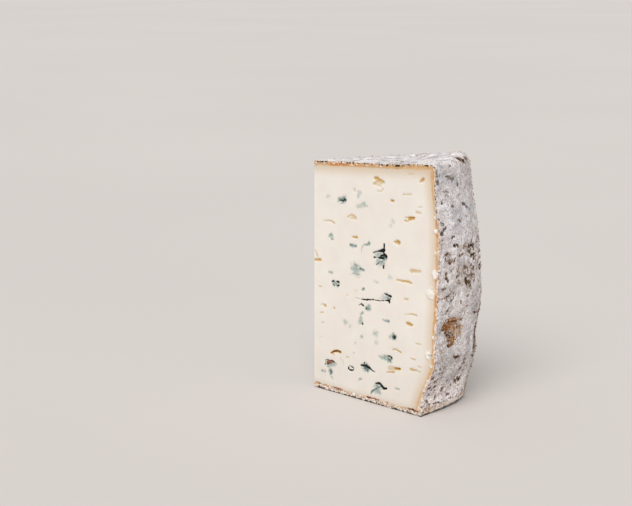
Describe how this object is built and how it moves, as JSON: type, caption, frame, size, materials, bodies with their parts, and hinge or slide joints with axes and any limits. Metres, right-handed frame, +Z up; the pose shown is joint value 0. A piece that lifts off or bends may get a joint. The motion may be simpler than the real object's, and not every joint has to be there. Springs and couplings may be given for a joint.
{
  "type": "blue cheese wedge",
  "caption": "Tall wedge of blue cheese with a mouldy natural rind, blue-green veined holes and small eyes in both cut faces.",
  "frame": {"origin": "centre of the bounding box's bottom, on the surface that the wedge stands on", "axes": "+Z up along the drum's height, +X along the wedge's middle line from the point to the rind, Y across the wedge"},
  "size_m": [0.1048, 0.0598, 0.1581],
  "materials": {
    "cheese": "matt, slightly waxy ivory paste",
    "rind": "dry, powdery grey-white mould with brown pits"
  },
  "bodies": {
    "root": {"cheese_wedge": "cheese"}
  },
  "joints": []
}
